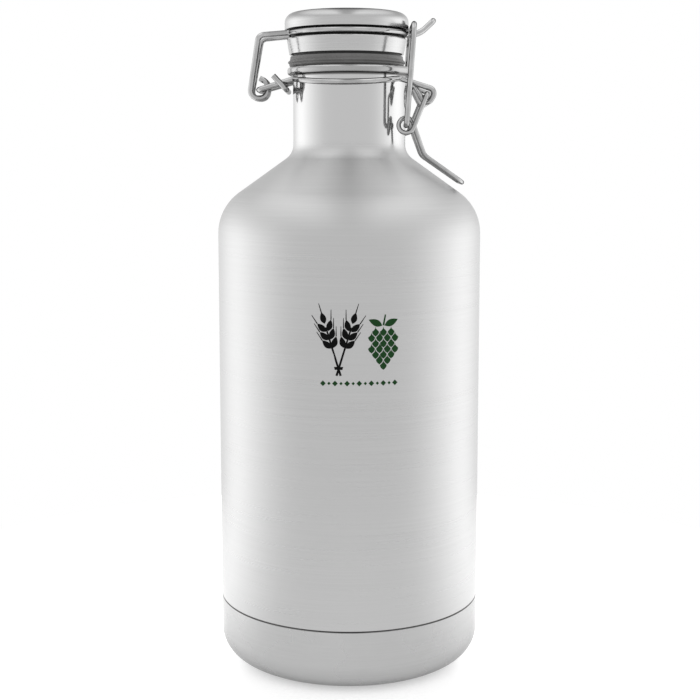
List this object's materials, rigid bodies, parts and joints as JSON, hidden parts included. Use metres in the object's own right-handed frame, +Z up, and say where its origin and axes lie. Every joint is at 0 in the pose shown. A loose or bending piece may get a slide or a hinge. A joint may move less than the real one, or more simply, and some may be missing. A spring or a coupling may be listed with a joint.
{
  "type": "growler",
  "caption": "Tall cylindrical double-walled steel growler with sloped shoulders, a narrow neck, and a hinged swing-top cap held down by an over-centre wire latch.",
  "frame": {"origin": "centre of the base, on the surface that the growler stands on", "axes": "+Z up along the body's axis; +X towards the latch, -X towards the cap's hinge; the front faces -Y"},
  "size_m": [0.124, 0.124, 0.3054],
  "materials": {
    "brushed_steel_wall": "fine circumferential brushing; neck polished",
    "satin_steel_base": "smooth satin",
    "satin_steel_cap": "satin, fine brushing",
    "liner_steel": "electropolished satin",
    "steel_wire": "bright drawn stainless wire",
    "silicone": "matt grey silicone",
    "cap_plastic": "matt dark grey polypropylene",
    "getter_alloy": "sintered, dark"
  },
  "bodies": {
    "vessel": {"outer_shell": "brushed_steel_wall", "base_cup": "satin_steel_base", "base_disc": "satin_steel_base", "seal_bead": "getter_alloy", "inner_liner": "liner_steel", "liner_base": "liner_steel", "lip_ring": "liner_steel", "getter": "getter_alloy", "getter_clip": "liner_steel", "neck_wire": "steel_wire", "neck_wire_tie": "steel_wire"},
    "cap": {"cap_lid": "satin_steel_cap", "cap_band": "satin_steel_cap", "cap_core": "cap_plastic", "cap_plug": "cap_plastic", "plug_screw": "steel_wire", "cap_gasket": "silicone", "cap_wire": "steel_wire", "latch_tongue": "steel_wire"},
    "lever": {"latch_lever": "steel_wire"},
    "bail": {"latch_bail": "steel_wire"}
  },
  "joints": [
    {"name": "cap_hinge", "type": "hinge", "parent": "vessel", "child": "cap", "pos_m": [-0.0419, 0, 0.2696], "axis": [0, -1, 0], "range_deg": [0, 180]},
    {"name": "lever_pivot", "type": "hinge", "parent": "vessel", "child": "lever", "pos_m": [0.0355, 0, 0.2674], "axis": [0, -1, 0], "range_deg": [0, 150], "deforming": ["latch_tongue"]},
    {"name": "bail_pivot", "type": "hinge", "parent": "lever", "child": "bail", "pos_m": [0.026, 0, 0.253], "axis": [0, -1, 0], "range_deg": [-190.5, 0]}
  ],
  "couplings": [
    {"joint": "bail_pivot", "follows": "lever_pivot", "ratio": -1.27}
  ]
}
